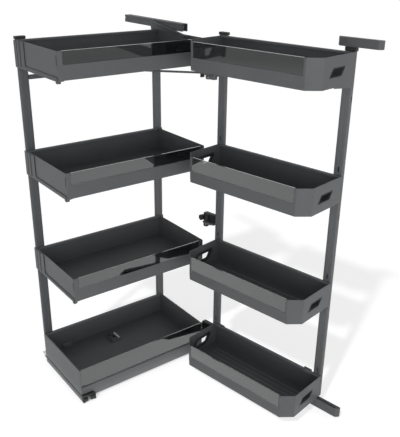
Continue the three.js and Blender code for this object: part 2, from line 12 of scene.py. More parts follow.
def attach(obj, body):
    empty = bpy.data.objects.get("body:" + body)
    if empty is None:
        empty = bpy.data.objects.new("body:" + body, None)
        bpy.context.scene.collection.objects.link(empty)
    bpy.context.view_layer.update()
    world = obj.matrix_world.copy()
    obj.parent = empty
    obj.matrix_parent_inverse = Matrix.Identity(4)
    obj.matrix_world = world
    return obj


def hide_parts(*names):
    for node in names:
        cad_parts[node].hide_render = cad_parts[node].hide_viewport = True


bl_info = {
    "name": "Tall pantry pull-out",
    "version": (1, 0, 0),
    "blender": (4, 5, 0),
    "location": "View3D > Sidebar > Pantry",
    "description": "Finishes the pieces of a tall pantry pull-out around its packed frame",
    "category": "Object",
}

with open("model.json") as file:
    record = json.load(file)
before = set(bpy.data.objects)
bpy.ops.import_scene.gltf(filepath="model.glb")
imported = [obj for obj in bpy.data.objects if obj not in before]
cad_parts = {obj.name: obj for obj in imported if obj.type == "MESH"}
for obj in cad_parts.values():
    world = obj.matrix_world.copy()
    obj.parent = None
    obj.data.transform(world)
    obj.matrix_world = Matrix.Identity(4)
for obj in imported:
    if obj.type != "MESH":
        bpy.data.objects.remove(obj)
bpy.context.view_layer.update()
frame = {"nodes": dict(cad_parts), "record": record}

MM = 0.001
LEVELS = (1, 2, 3, 4)  # from the top tray down
BODY_OF = {node: body for body, nodes in frame["record"]["behaviour"]["bodies"].items() for node in nodes}

# The photograph's view: metres, degrees, and the lens in millimetres
CAMERA_PLACE = (-0.6747, -1.5999, 1.2704)
CAMERA_HEADING = 52.747
CAMERA_PITCH = 23.22
CAMERA_ROLL = 0.725
CAMERA_LENS = 52.06
CAMERA_SENSOR = 36.0

# Places in millimetres: the inner rack's front left corner, and the door rack's hinge axis and turn
RACK_CORNER = (-18, -160)
DOOR_AXIS = (456, -146)
DOOR_TURN = radians(-80)
HINGE_AXIS = (474, 14)  # the same axis, from the rack's corner

# Heights in millimetres: the lowest trays' undersides, the trays, the step from level to level, and the hinges
LEVEL_PITCH = 310
INNER_BOTTOM = 36
INNER_HEIGHT = 72
DOOR_BOTTOM = 44
DOOR_HEIGHT = 74
HINGE_BASES = {"bottom": 55, "middle": 456, "top": 920}

# Trays and tubes in millimetres, each along its own frame
INNER_LENGTH = 450
DOOR_ENDS = (50, 465)
DOOR_FRONT = -158
DOOR_CORNER = 30
DOOR_FLOOR = 1.5
TUBE_SIZE = (28, 12)
TUBE_WALL = 1.5
TUBE_TOPS = {"inner": 1038.3, "door": 1048.3}

# An edge between two faces wider than this is a bend or a moulded corner, and any other is a sheet's rim
BEND_FACE_WIDTH = 4 * MM
SHARP_EDGE = radians(35)
FLAT_EDGE = radians(0.5)
MERGE_DISTANCE = 0.002 * MM


def linear_colour(hex_value):
    """An sRGB hex colour as linear RGBA."""
    channels = [((hex_value >> shift) & 255) / 255 for shift in (16, 8, 0)]
    return tuple(c / 12.92 if c <= 0.04045 else ((c + 0.055) / 1.055) ** 2.4 for c in channels) + (1.0,)


def add_node(tree, kind, inputs=None, **settings):
    """Adds a node with its settings, and sets or links its inputs."""
    made = tree.nodes.new(kind)
    for name, value in settings.items():
        setattr(made, name, value)
    for key, value in (inputs or {}).items():
        if isinstance(value, bpy.types.NodeSocket):
            tree.links.new(value, made.inputs[key])
        else:
            made.inputs[key].default_value = value
    return made


# Sizes and colours

COLOUR = {"subtype": "COLOR", "size": 4, "min": 0, "max": 1}


class PantryFinishes(bpy.types.PropertyGroup):
    coat: FloatVectorProperty(
        name="Powder coat", description="Colour of the racks' powder coat",
        default=linear_colour(0x656769), **COLOUR)
    # A lighter copy of the coat: painted light on the right inner upright, the door uprights, the rolled hems,
    # the hinge straps and the tray catch
    tube_coat: FloatVectorProperty(
        name="Painted light coat", description="Colour of the uprights' powder coat",
        default=linear_colour(0x6C6E70), **COLOUR)
    dark_coat: FloatVectorProperty(
        name="Dark coat", description="Colour of the guide, the arms and the bars",
        default=linear_colour(0x5E6062), **COLOUR)
    black_coat: FloatVectorProperty(
        name="Black coat", description="Colour of the die-cast hinges",
        default=linear_colour(0x333435), **COLOUR)
    # A paler copy of the coat: painted highlight on the tray beads
    bead_highlight_coat: FloatVectorProperty(
        name="Bead highlight coat", description="Colour of the tray beads, painted pale as a highlight along them",
        default=linear_colour(0x7E8184), **COLOUR)
    # Partly the zinc's pale colour, and painted near white as a highlight on the pin
    zinc: FloatVectorProperty(
        name="Zinc", description="Colour of the lowest tray's locking pin",
        default=linear_colour(0xF0F0EE), **COLOUR)
    dark_steel: FloatVectorProperty(
        name="Dark steel", description="Colour of the blackened hinge pins and screws",
        default=linear_colour(0x6E7072), **COLOUR)
    glass: FloatVectorProperty(
        name="Smoked glass", description="Tint of the glass fronts",
        default=linear_colour(0x6B7073), **COLOUR)
    plastic: FloatVectorProperty(
        name="Black plastic", description="Colour of the caps and glides",
        default=linear_colour(0x1A1B1C), **COLOUR)
    steel: FloatVectorProperty(
        name="Plated steel", description="Colour of the link pins and the floor rails",
        default=linear_colour(0xC3C6C8), **COLOUR)


class PantrySizes(bpy.types.PropertyGroup):
    bend_radius: FloatProperty(
        name="Bend radius", description="Outside radius of the folded sheet's bends",
        min=0.2 * MM, max=4 * MM, default=1.4 * MM, unit="LENGTH")
    rim_radius: FloatProperty(
        name="Rim radius", description="Rounding of the sheet's rims under the coat",
        min=0.1 * MM, max=1 * MM, default=0.4 * MM, unit="LENGTH")
    moulded_radius: FloatProperty(
        name="Moulded radius", description="Rounding of the moulded pieces' edges",
        min=0.2 * MM, max=4 * MM, default=1 * MM, unit="LENGTH")


class PantryStage(bpy.types.PropertyGroup):
    sun: FloatProperty(
        name="Key light", description="Strength of the light that casts the shadow", min=0, max=10, default=2.0)
    softbox: FloatProperty(
        name="Softbox", description="Power of the soft light in front, in watts", min=0, max=100, default=26.0)
    room: FloatProperty(
        name="Horizon light", description="Strength of the room's light from low down",
        min=0, max=5, default=1.5)
    ceiling: FloatProperty(
        name="Ceiling light", description="Strength of the room's light from above",
        min=0, max=5, default=0.2)


# Finishes

def new_material(name):
    """An empty material, its tree and the place on the object that its patterns follow."""
    material = bpy.data.materials.new(name)
    material.use_nodes = True
    tree = material.node_tree
    tree.nodes.clear()
    return material, tree, add_node(tree, "ShaderNodeTexCoord").outputs["Object"]


def pattern_scale(size):
    """The scale of a pattern whose grains are this many millimetres wide."""
    return 1 / (size * MM)


# Real speckle, orange peel, moulded grain and drawing lines are some tenths of a millimetre wide.
# They are drawn about three times as coarse, so that they still show from where the camera stands.
CLOUD_SIZE, SPECKLE_SIZE, PEEL_SIZE = 111, 1.43, 2.38
WAVE_SIZE, NYLON_GRAIN_SIZE, DRAWN_LINE_SIZE = 143, 1.11, 0.67
NOISE = {"From Min": 0.3, "From Max": 0.7}  # what a noise texture's values mostly lie between


def powder_coat(name, colour):
    """Powder-coated steel, sprayed and baked: a satin face with a fine orange peel and a faint speckle."""
    material, tree, place = new_material(name)
    cloud = add_node(tree, "ShaderNodeTexNoise", {
        "Vector": place, "Scale": pattern_scale(CLOUD_SIZE), "Detail": 2.0})
    speckle = add_node(tree, "ShaderNodeTexNoise", {
        "Vector": place, "Scale": pattern_scale(SPECKLE_SIZE), "Detail": 3.0})
    peel = add_node(tree, "ShaderNodeTexVoronoi", {"Vector": place, "Scale": pattern_scale(PEEL_SIZE)},
                    feature="SMOOTH_F1")
    mottle = add_node(tree, "ShaderNodeMix", {
        "Factor": 0.4, 2: cloud.outputs["Fac"], 3: speckle.outputs["Fac"]})
    shade = add_node(tree, "ShaderNodeMapRange", {
        "Value": mottle.outputs[0], **NOISE, "To Min": 0.94, "To Max": 1.06})
    tinted = add_node(tree, "ShaderNodeHueSaturation", {
        "Color": tuple(colour), "Value": shade.outputs["Result"]})
    gloss = add_node(tree, "ShaderNodeMapRange", {
        "Value": speckle.outputs["Fac"], **NOISE, "To Min": 0.45, "To Max": 0.55})
    bump = add_node(tree, "ShaderNodeBump", {
        "Height": peel.outputs["Distance"], "Strength": 0.12, "Distance": 0.1 * MM})
    shader = add_node(tree, "ShaderNodeBsdfPrincipled", {
        "Base Color": tinted.outputs["Color"], "Roughness": gloss.outputs["Result"], "IOR": 1.5,
        "Specular IOR Level": 0.3, "Normal": bump.outputs["Normal"]})
    add_node(tree, "ShaderNodeOutputMaterial", {"Surface": shader.outputs["BSDF"]})
    return material


def floor_bounce_painted_coat(name, colour):
    """Powder coat painted paler towards the floor: painted light standing in for the floor's bounce, and a
    little paler all over.
    """
    material = powder_coat(name, colour)
    tree = material.node_tree
    shader = next(node for node in tree.nodes if node.bl_idname == "ShaderNodeBsdfPrincipled")
    unbrightened = shader.inputs["Base Color"].links[0].from_socket
    place = add_node(tree, "ShaderNodeTexCoord").outputs["Object"]
    height = add_node(tree, "ShaderNodeSeparateXYZ", {0: place}).outputs["Z"]
    # Painted light: the colour is raised 1.75 times at the floor, falling to 1.15 times higher up, for light
    # bounced off the floor
    painted_bounce = add_node(tree, "ShaderNodeMapRange", {
        "Value": height, "From Min": 8 * MM, "From Max": 44 * MM, "To Min": 1.75, "To Max": 1.15})
    bounce_painted = add_node(tree, "ShaderNodeHueSaturation", {"Color": unbrightened, "Value": painted_bounce.outputs["Result"]})
    tree.links.new(bounce_painted.outputs["Color"], shader.inputs["Base Color"])
    return material


def smoked_glass(name, colour):
    """Grey tinted float glass, cut and arrised: clear and dark, with a mirror of the room on its face."""
    material, tree, place = new_material(name)
    wave = add_node(tree, "ShaderNodeTexNoise", {
        "Vector": place, "Scale": pattern_scale(WAVE_SIZE), "Detail": 1.0})
    bump = add_node(tree, "ShaderNodeBump", {
        "Height": wave.outputs["Fac"], "Strength": 0.02, "Distance": 1 * MM})
    shader = add_node(tree, "ShaderNodeBsdfPrincipled", {
        "Base Color": tuple(colour), "Roughness": 0.03, "IOR": 1.7, "Transmission Weight": 1.0,
        "Coat Weight": 1.0, "Coat Roughness": 0.03, "Coat IOR": 1.6, "Normal": bump.outputs["Normal"]})
    add_node(tree, "ShaderNodeOutputMaterial", {"Surface": shader.outputs["BSDF"]})
    return material


def grained_surface(name, colour, grain, gloss, shade, relief, shader_inputs):
    """A surface whose gloss, shade and relief all follow one fine grain."""
    material, tree, place = new_material(name)
    size, stretch, detail = grain
    stretched = add_node(tree, "ShaderNodeMapping", {"Vector": place, "Scale": stretch}).outputs["Vector"]
    noise = add_node(tree, "ShaderNodeTexNoise", {
        "Vector": stretched, "Scale": pattern_scale(size), "Detail": detail}).outputs["Fac"]
    roughness, value = (
        add_node(tree, "ShaderNodeMapRange", {"Value": noise, **NOISE, "To Min": low, "To Max": high})
        for low, high in (gloss, shade))
    tinted = add_node(tree, "ShaderNodeHueSaturation", {
        "Color": tuple(colour), "Value": value.outputs["Result"]})
    bump = add_node(tree, "ShaderNodeBump", {"Height": noise, "Strength": relief, "Distance": 0.1 * MM})
    shader = add_node(tree, "ShaderNodeBsdfPrincipled", {
        "Base Color": tinted.outputs["Color"], "Roughness": roughness.outputs["Result"],
        "Normal": bump.outputs["Normal"], **shader_inputs})
    add_node(tree, "ShaderNodeOutputMaterial", {"Surface": shader.outputs["BSDF"]})
    return material


def moulded_nylon(name, colour):
    """Black nylon, injection moulded in a spark-eroded tool: a dull fine grain."""
    return grained_surface(name, colour, (NYLON_GRAIN_SIZE, (1.0, 1.0, 1.0), 4.0),
                           gloss=(0.42, 0.6), shade=(0.9, 1.15), relief=0.15, shader_inputs={"IOR": 1.53})


def plated_steel(name, colour):
    """Steel, turned or rolled and then zinc plated or blackened: a cool metal with fine drawing lines."""
    return grained_surface(name, colour, (DRAWN_LINE_SIZE, (1.0, 0.05, 1.0), 3.0),
                           gloss=(0.2, 0.34), shade=(0.92, 1.04), relief=0.08, shader_inputs={"Metallic": 1.0})


# For each finish, its material's name, what makes it and which colour it takes
FINISHES = {
    "coat": ("powder_coated_sheet", powder_coat, "coat"),
    "tube_coat": ("powder_coated_tube", powder_coat, "tube_coat"),
    "dark_coat": ("dark_powder_coat", powder_coat, "dark_coat"),
    "painted_bounce_coat": ("powder_coat_with_floor_dust", floor_bounce_painted_coat, "coat"),
    "black_coat": ("black_coated_die_casting", powder_coat, "black_coat"),
    "bead_highlight_coat": ("rubbed_powder_coat", powder_coat, "bead_highlight_coat"),
    "glint_white_zinc": ("white_passivated_zinc", powder_coat, "zinc"),
    "dark_steel": ("blackened_steel", plated_steel, "dark_steel"),
    "smoked_glass": ("smoked_float_glass", smoked_glass, "glass"),
    "black_plastic": ("moulded_black_nylon", moulded_nylon, "plastic"),
    "steel": ("bright_zinc_plated_steel", plated_steel, "steel"),
}


def finish(slot):
    """The slot's material, made the first time it is asked for."""
    name, make, colour = FINISHES[slot]
    return bpy.data.materials.get(name) or make(name, getattr(bpy.context.scene.pantry_finishes, colour))


# Places

def rack(x, y, z):
    """A place in millimetres from the inner rack's front left corner."""
    return Vector((x + RACK_CORNER[0], y + RACK_CORNER[1], z)) * MM


def door(x, y, z):
    """A place on the open door rack: x from the hinge axis along the trays, y behind their backs."""
    place = Matrix.Rotation(DOOR_TURN, 2) @ Vector((x, y))
    return Vector((place.x + DOOR_AXIS[0], place.y + DOOR_AXIS[1], z)) * MM


def heading(where, *direction):
    """A direction of one of the two frames, in the scene."""
    return (where(*direction) - where(0, 0, 0)).normalized()


def inner_tray_bottom(level):
    return INNER_BOTTOM + (len(LEVELS) - level) * LEVEL_PITCH


# Outlines, in millimetres

def rectangle(u0, u1, v0, v1):
    return [(u0, v0), (u1, v0), (u1, v1), (u0, v1)]


def circle(u, v, radius, sides=24):
    return [(u + radius * cos(2 * pi * i / sides), v + radius * sin(2 * pi * i / sides)) for i in range(sides)]


def grown(outline, distance):
    """A convex outline, counter-clockwise, with its sides moved outwards."""
    corners = [Vector(corner) for corner in outline]
    moved = []
    for i, corner in enumerate(corners):
        sides = (corner - corners[i - 1], corners[(i + 1) % len(corners)] - corner)
        first, second = (Vector((side.y, -side.x)).normalized() for side in sides)
        moved.append(tuple(corner + (first + second) * (distance / (1 + first.dot(second)))))
    return moved


def rounded(outline, radius, steps=4):
    """An outline whose corners are arcs."""
    corners = [Vector(corner) for corner in outline]
    arcs = []
    for i, corner in enumerate(corners):
        ends = [corner + (other - corner).normalized() * radius
                for other in (corners[i - 1], corners[(i + 1) % len(corners)])]
        for step in range(steps + 1):
            t = step / steps
            arcs.append(tuple(ends[0] * (1 - t) ** 2 + corner * (2 * t * (1 - t)) + ends[1] * t ** 2))
    return arcs


# Solids, added to a bmesh

def skin(shape, loops, ring=False):
    """Joins loops of places by quads, and closes the two ends or, in a ring, the last loop onto the first."""
    rows = [[shape.verts.new(place) for place in loop] for loop in loops]
    for near, far in zip(rows, rows[1:] + rows[:1] if ring else rows[1:]):
        for i in range(len(near)):
            shape.faces.new((near[i - 1], near[i], far[i], far[i - 1]))
    if not ring:
        shape.faces.new(rows[0])
        shape.faces.new(rows[-1])


AXES = {
    "x": lambda u, v, w: (w, u, v),
    "y": lambda u, v, w: (u, w, v),
    "z": lambda u, v, w: (u, v, w),
}


def prism(shape, where, axis, outline, span):
    """Adds an outline drawn out along an axis of a frame."""
    skin(shape, [[where(*AXES[axis](u, v, w)) for u, v in outline] for w in span])


def turned(shape, where, axis, centre, steps, sides=24):
    """Adds a turned solid: steps gives each place along the axis and the radius there."""
    skin(shape, [[where(*AXES[axis](u, v, w)) for u, v in circle(*centre, radius, sides)]
                 for w, radius in steps])


# Making pieces

def put_in_scene(name, data):
    """A new object, linked to the scene."""
    made = bpy.data.objects.new(name, data)
    bpy.context.scene.collection.objects.link(made)
    return made


def join_flat_faces(shape):
    """Joins neighbours in one plane, but never into a ring, which no face can be."""
    for edge in list(shape.edges):
        if not edge.is_valid or len(edge.link_faces) != 2 or edge.calc_face_angle(pi) > FLAT_EDGE:
            continue
        one, other = edge.link_faces
        shared_verts = set(one.verts) & set(other.verts)
        shared_edges = set(one.edges) & set(other.edges)
        if len(shared_verts) == len(shared_edges) + 1:
            bmesh.utils.face_join((one, other))


def straighten(shape):
    """Takes out the corners that lie along a straight edge."""
    spare = [v for v in shape.verts if len(v.link_edges) == 2 and v.calc_edge_angle(pi) < FLAT_EDGE]
    bmesh.ops.dissolve_verts(shape, verts=spare)


def merged_copy(node):
    """A bmesh of a CAD node with its loose triangles joined into flat faces."""
    shape = bmesh.new()
    shape.from_mesh(frame["nodes"][node].data)
    bmesh.ops.remove_doubles(shape, verts=shape.verts, dist=MERGE_DISTANCE)
    join_flat_faces(shape)
    straighten(shape)
    return shape


def face_width(face):
    """About the width of a strip, whatever way it runs."""
    return 2 * face.calc_area() / face.calc_perimeter()


def weigh_edges(shape, bend, rim):
    """Marks each sharp edge with its share of the bend radius."""
    layer = shape.edges.layers.float.new("bevel_weight_edge")
    for edge in shape.edges:
        if len(edge.link_faces) != 2 or edge.calc_face_angle(0) < SHARP_EDGE:
            continue
        wide = all(face_width(face) > BEND_FACE_WIDTH for face in edge.link_faces)
        edge[layer] = 1.0 if wide else rim / bend


def plain_mesh(name, shape):
    """A smooth mesh of a bmesh, sharp at its corners."""
    bmesh.ops.recalc_face_normals(shape, faces=shape.faces[:])
    for face in shape.faces:
        face.smooth = True
    mesh = bpy.data.meshes.new(name)
    shape.to_mesh(mesh)
    shape.free()
    mesh.set_sharp_from_angle(angle=SHARP_EDGE)
    return mesh


def settled(mesh, change):
    """The plain mesh that an object's modifiers make of a mesh; change adds the modifiers."""
    passing = put_in_scene("passing", mesh)
    change(passing)
    graph = bpy.context.evaluated_depsgraph_get()
    made = bpy.data.meshes.new_from_object(passing.evaluated_get(graph), depsgraph=graph)
    bpy.data.objects.remove(passing)
    return made


def round_edges(piece, width, segments=2):
    """Rounds the weighted edges and keeps the flat faces flat."""
    edges = piece.modifiers.new("Rounded edges", "BEVEL")
    edges.limit_method = "WEIGHT"
    edges.width = width
    edges.segments = segments
    edges.use_clamp_overlap = True
    edges.miter_outer = "MITER_ARC"
    normals = piece.modifiers.new("Flat faces", "WEIGHTED_NORMAL")
    normals.keep_sharp = False


def carve(shape, cutter):
    """Cuts one bmesh out of another."""
    tool = put_in_scene("cutter", plain_mesh("cutter", cutter))

    def cut(piece):
        difference = piece.modifiers.new("Cut", "BOOLEAN")
        difference.operation = "DIFFERENCE"
        difference.solver = "EXACT"
        difference.object = tool

    carved = settled(plain_mesh("carved", shape), cut)
    bpy.data.objects.remove(tool)
    made = bmesh.new()
    made.from_mesh(carved)
    bmesh.ops.remove_doubles(made, verts=made.verts, dist=MERGE_DISTANCE)
    return made


def add_piece(name, mesh, body, slot, replaced=(), material=None):
    """Puts a finished mesh in the scene as a piece that rides on a CAD body."""
    mesh.materials.clear()
    mesh.materials.append(finish(material or slot))
    piece = put_in_scene(name, mesh)
    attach(piece, body)
    if replaced:
        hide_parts(*replaced)
    return piece


def dress(name, shape, body, slot, bend=None, replaced=(), segments=2, material=None):
    """Makes a bmesh a piece whose edges are rounded as the real one's are."""
    sizes = bpy.context.scene.pantry_sizes
    bend = bend or sizes.bend_radius
    weigh_edges(shape, bend, min(bend, sizes.rim_radius))
    piece = add_piece(name, plain_mesh(name, shape), body, slot, replaced, material)
    round_edges(piece, bend, segments)
    return piece


def dress_node(name, node, slot, bend=None, segments=2, material=None):
    """Replaces a CAD node by a rounded copy of itself."""
    return dress(name, merged_copy(node), BODY_OF[node], slot, bend, [node], segments, material)


def moulded_pieces(names):
    """Rounds several moulded pieces, given as new name and CAD node."""
    for name, node in names.items():
        dress_node(name, node, "black_plastic", bpy.context.scene.pantry_sizes.moulded_radius, 3)


# Geometry Nodes

SOCKET_SHARE = 0.45  # a screw's socket, as a share of its head
TO_LEFT, TO_FRONT = (-1, 0, 0), (0, -1, 0)


def new_tree(name, sockets):
    """A Geometry Nodes tree that changes a mesh, with its named inputs."""
    tree = bpy.data.node_groups.new(name, "GeometryNodeTree")
    tree.interface.new_socket("Geometry", in_out="OUTPUT", socket_type="NodeSocketGeometry")
    for label, kind in {"Geometry": "Geometry", **sockets, "Material": "Material"}.items():
        tree.interface.new_socket(label, in_out="INPUT", socket_type="NodeSocket" + kind)
    return tree, tree.nodes.new("NodeGroupInput").outputs


def end_tree(tree, given, geometry):
    """Ends a tree: its instances made real and its material set."""
    real = add_node(tree, "GeometryNodeRealizeInstances", {"Geometry": geometry})
    coated = add_node(tree, "GeometryNodeSetMaterial", {
        "Geometry": real.outputs[0], "Material": given["Material"]})
    add_node(tree, "NodeGroupOutput", {"Geometry": coated.outputs[0]})
    return tree


def row_of(tree, given, what, count, step):
    """Instances of a geometry along a straight row."""
    line = add_node(tree, "GeometryNodeMeshLine", {"Count": given[count], "Offset": given[step]}, mode="OFFSET")
    placed = add_node(tree, "GeometryNodeInstanceOnPoints", {"Points": line.outputs[0], "Instance": what})
    return placed.outputs[0]


def rows_tree():
    """Repeats a shape in rows and columns."""
    tree, given = new_tree("set_out_in_rows", {
        "Columns": "Int", "Column Step": "Vector", "Rows": "Int", "Row Step": "Vector"})
    columns = row_of(tree, given, given["Geometry"], "Columns", "Column Step")
    return end_tree(tree, given, row_of(tree, given, columns, "Rows", "Row Step"))


def slots_tree():
    """Punches a row of slots in a tube."""
    tree, given = new_tree("punched_slots", {"Punch": "Object", "Count": "Int", "Step": "Vector"})
    punch = add_node(tree, "GeometryNodeObjectInfo", {"Object": given["Punch"]})
    row = row_of(tree, given, punch.outputs["Geometry"], "Count", "Step")
    punches = add_node(tree, "GeometryNodeRealizeInstances", {"Geometry": row})
    punched = add_node(tree, "GeometryNodeMeshBoolean", {
        "Mesh 1": given["Geometry"], "Mesh 2": punches.outputs[0]}, operation="DIFFERENCE", solver="EXACT")
    return end_tree(tree, given, punched.outputs["Mesh"])


def screws_tree():
    """Sets a screw with a hexagon socket on each point, all with their heads to one side."""
    tree, given = new_tree("socket_screws", {
        "Facing": "Vector", "Head Radius": "Float", "Head Height": "Float", "Socket Radius": "Float"})
    shoulder = add_node(tree, "ShaderNodeMath", {0: given["Head Radius"], 1: 0.8}, operation="MULTIPLY")
    head = add_node(tree, "GeometryNodeMeshCone", {
        "Vertices": 20, "Radius Top": shoulder.outputs[0], "Radius Bottom": given["Head Radius"],
        "Depth": given["Head Height"]})
    socket = add_node(tree, "GeometryNodeMeshCylinder", {
        "Vertices": 6, "Radius": given["Socket Radius"], "Depth": given["Head Height"]})
    raised = add_node(tree, "ShaderNodeCombineXYZ", {"Z": given["Head Height"]})
    lifted = add_node(tree, "GeometryNodeTransform", {
        "Geometry": socket.outputs[0], "Translation": raised.outputs[0]})
    screw = add_node(tree, "GeometryNodeMeshBoolean", {
        "Mesh 1": head.outputs[0], "Mesh 2": lifted.outputs[0]}, operation="DIFFERENCE", solver="EXACT")
    turn = add_node(tree, "FunctionNodeAlignRotationToVector", {"Vector": given["Facing"]}, axis="Z")
    screws = add_node(tree, "GeometryNodeInstanceOnPoints", {
        "Points": given["Geometry"], "Instance": screw.outputs["Mesh"], "Rotation": turn.outputs[0]})
    return end_tree(tree, given, screws.outputs[0])


TREES = {"set_out_in_rows": rows_tree, "punched_slots": slots_tree, "socket_screws": screws_tree}


def grown_by_tree(mesh, kind, slot, **values):
    """The plain mesh that one of the trees makes of a mesh; each value is set by its socket's identifier."""
    tree = bpy.data.node_groups.get(kind) or TREES[kind]()
    values = {"Material": finish(slot), **{name.replace("_", " "): value for name, value in values.items()}}

    def change(piece):
        nodes = piece.modifiers.new(kind, "NODES")
        nodes.node_group = tree
        for socket in tree.interface.items_tree:
            if socket.in_out == "INPUT" and socket.name in values:
                nodes[socket.identifier] = values[socket.name]

    return settled(mesh, change)


def repeated_piece(name, shape, body, slot, rows, columns=1, column_step=(0, 0, 0), bend=None,
                   material=None):
    """Makes a piece of one rounded shape, repeated across and up the levels."""
    sizes = bpy.context.scene.pantry_sizes
    bend = bend or sizes.rim_radius
    weigh_edges(shape, bend, bend)
    mould = settled(plain_mesh(name, shape), lambda piece: round_edges(piece, bend))
    mesh = grown_by_tree(mould, "set_out_in_rows", material or slot, Columns=columns,
                         Column_Step=tuple(column_step), Rows=rows, Row_Step=(0, 0, LEVEL_PITCH * MM))
    return add_piece(name, mesh, body, slot, material=material)


def screws(name, body, slot, where, facing, places, radius, height, material=None):
    """Makes a piece of screws at places in a frame, whose heads all face one of its directions."""
    points = bpy.data.meshes.new(name)
    points.from_pydata([where(*place) for place in places], [], [])
    mesh = grown_by_tree(points, "socket_screws", material or slot, Facing=tuple(heading(where, *facing)),
                         Head_Radius=radius * MM, Head_Height=height * MM,
                         Socket_Radius=SOCKET_SHARE * radius * MM)
    mesh.set_sharp_from_angle(angle=SHARP_EDGE)
    return add_piece(name, mesh, body, slot, material=material)


# Operators

class PANTRY_OT_inner_trays(bpy.types.Operator):
    """Makes the four deep trays of the inner rack and the hems on their backs"""
    bl_idname = "pantry.inner_trays"
    bl_label = "Inner trays"

    def execute(self, context):
        for i in LEVELS:
            bottom = inner_tray_bottom(i)
            # Relief slots beside the front band; the lowest tray's front is glass right out to its corners
            relief, depth = rectangle(1.6, 6.6, bottom + 36, bottom + 61), 2
            if i == LEVELS[-1]:
                relief, depth = rectangle(0, 6.6, bottom + 15.9, 120), 14.2
            cuts = bmesh.new()
            for span in ((-1, depth), (INNER_LENGTH - depth, INNER_LENGTH + 1)):
                prism(cuts, rack, "x", relief, span)
            dress(f"folded_inner_tray_{i}", carve(merged_copy(f"inner_tray_{i}"), cuts), "inner_rack", "coat",
                  replaced=[f"inner_tray_{i}"])
        rim = INNER_BOTTOM + INNER_HEIGHT
        hem = bmesh.new()
        prism(hem, rack, "x", rounded(rectangle(242.4, 248.4, rim - 7, rim), 2.4), (1.6, INNER_LENGTH - 1.6))
        # The hems take the lighter coat: a painted highlight along each back rim
        repeated_piece("rolled_inner_tray_hems", hem, "inner_rack", "coat", len(LEVELS), bend=0.3 * MM,
                       material="tube_coat")
        return {"FINISHED"}


class PANTRY_OT_door_trays(bpy.types.Operator):
    """Makes the four door trays with their beads, clips, hems, corner tabs and hand-hold grips"""
    bl_idname = "pantry.door_trays"
    bl_label = "Door trays"

    def execute(self, context):
        for i in LEVELS:
            dress_node(f"folded_door_tray_{i}", f"door_tray_{i}", "coat")
        self.beads()
        self.clips()
        self.hems()
        self.corner_tabs()
        self.grips()
        return {"FINISHED"}

    def beads(self):
        """Stiffening beads pressed along the floor of each tray"""
        floor, first, half_width, height, count, step = DOOR_BOTTOM + DOOR_FLOOR, -30, 1.9, 1.2, 7, -17
        bead = bmesh.new()
        crown = [(first + half_width * cos(pi * i / 6), floor - 0.1 + height * sin(pi * i / 6))
                 for i in range(7)]
        low = [(y, min(z, floor)) for y, z in crown]
        skin(bead, [[door(x, y, z) for y, z in section]
                    for x, section in ((84, low), (90, crown), (425, crown), (431, low))])
        # The beads take a paler copy of the coat: painted highlight, so that they show as light streaks along
        # the floor
        repeated_piece("pressed_tray_beads", bead, "door_rack", "coat", len(LEVELS), count,
                       door(0, step, 0) - door(0, 0, 0), bend=0.1 * MM, material="bead_highlight_coat")

    def clips(self):
        """Clips that hook the lowest tray's back hem to the uprights"""
        rim = DOOR_BOTTOM + DOOR_HEIGHT
        clip = bmesh.new()
        for span, height in (((66, 90), 3.5), ((407, 433), 5.5)):
            prism(clip, door, "x", [
                (-9.2, rim - 9), (-8, rim - 9), (-8, rim + 0.2), (0, rim + 0.2), (0, rim + height),
                (-1.4, rim + height), (-1.4, rim + 1.5), (-9.2, rim + 1.5)], span)
        repeated_piece("folded_tray_clips", clip, "door_rack", "coat", 1)

    def hems(self):
        """Rolled hems that stiffen the top edge of each tray's back wall, and the top tray's end gusset"""
        rim = DOOR_BOTTOM + DOOR_HEIGHT
        hem = bmesh.new()
        prism(hem, door, "x", rounded(rectangle(-7.6, -1.6, rim - 7, rim), 2.4),
              (DOOR_ENDS[0] + 1.6, DOOR_ENDS[1] - 1.6))
        # The hems take the lighter coat: a painted highlight along each back rim
        repeated_piece("rolled_door_tray_hems", hem, "door_rack", "coat", len(LEVELS), bend=0.3 * MM,
                       material="tube_coat")
        gusset = bmesh.new()
        top_tray = DOOR_BOTTOM + 3 * LEVEL_PITCH
        prism(gusset, door, "x", [(-78, top_tray - 0.2), (-78, top_tray - 2.5), (-1, top_tray - 11),
                                  (-1, top_tray - 0.2)], (DOOR_ENDS[1] - 2.2, DOOR_ENDS[1] - 0.6))
        dress("folded_end_gusset", gusset, "door_rack", "coat")

    def corner_tabs(self):
        """Locking tabs beside the front corners' folds"""
        slant, thick, half_height = cos(pi / 4), 0.7, 1.5
        tabs = bmesh.new()
        for x, side in ((DOOR_ENDS[1] - DOOR_CORNER, 1), (DOOR_ENDS[0] + DOOR_CORNER, -1)):
            for z in (DOOR_BOTTOM + 15, DOOR_BOTTOM + 29):
                near, far = ((x + side * along * slant, DOOR_FRONT + along * slant) for along in (4, 10))
                outline = [near, far] + [(u + side * slant * thick, v - slant * thick) for u, v in (far, near)]
                prism(tabs, door, "z", outline, (z - half_height, z + half_height))
        repeated_piece("bent_corner_tabs", tabs, "door_rack", "coat", len(LEVELS), bend=0.25 * MM)

    def grips(self):
        """Black grips that line the hand-holds"""
        top = DOOR_BOTTOM + DOOR_HEIGHT - 27
        hold, corner = [(-106, top - 23), (-52, top - 23), (-37, top), (-91, top)], 6
        grips = bmesh.new()
        for end, inwards in zip(DOOR_ENDS, (1, -1)):
            outside, inside, lip, flange = (end + inwards * depth for depth in (-0.3, 1.6, 3, 4.4))
            loops = [(-0.3, outside), (-0.3, inside), (7, inside), (7, lip), (5.5, flange), (-0.6, flange),
                     (-2.4, lip), (-2.4, outside)]
            skin(grips, [[door(x, y, z) for y, z in rounded(grown(hold, distance), corner + distance)]
                         for distance, x in loops], ring=True)
        repeated_piece("moulded_hand_hold_grips", grips, "door_rack", "black_plastic", len(LEVELS),
                       bend=0.3 * MM)


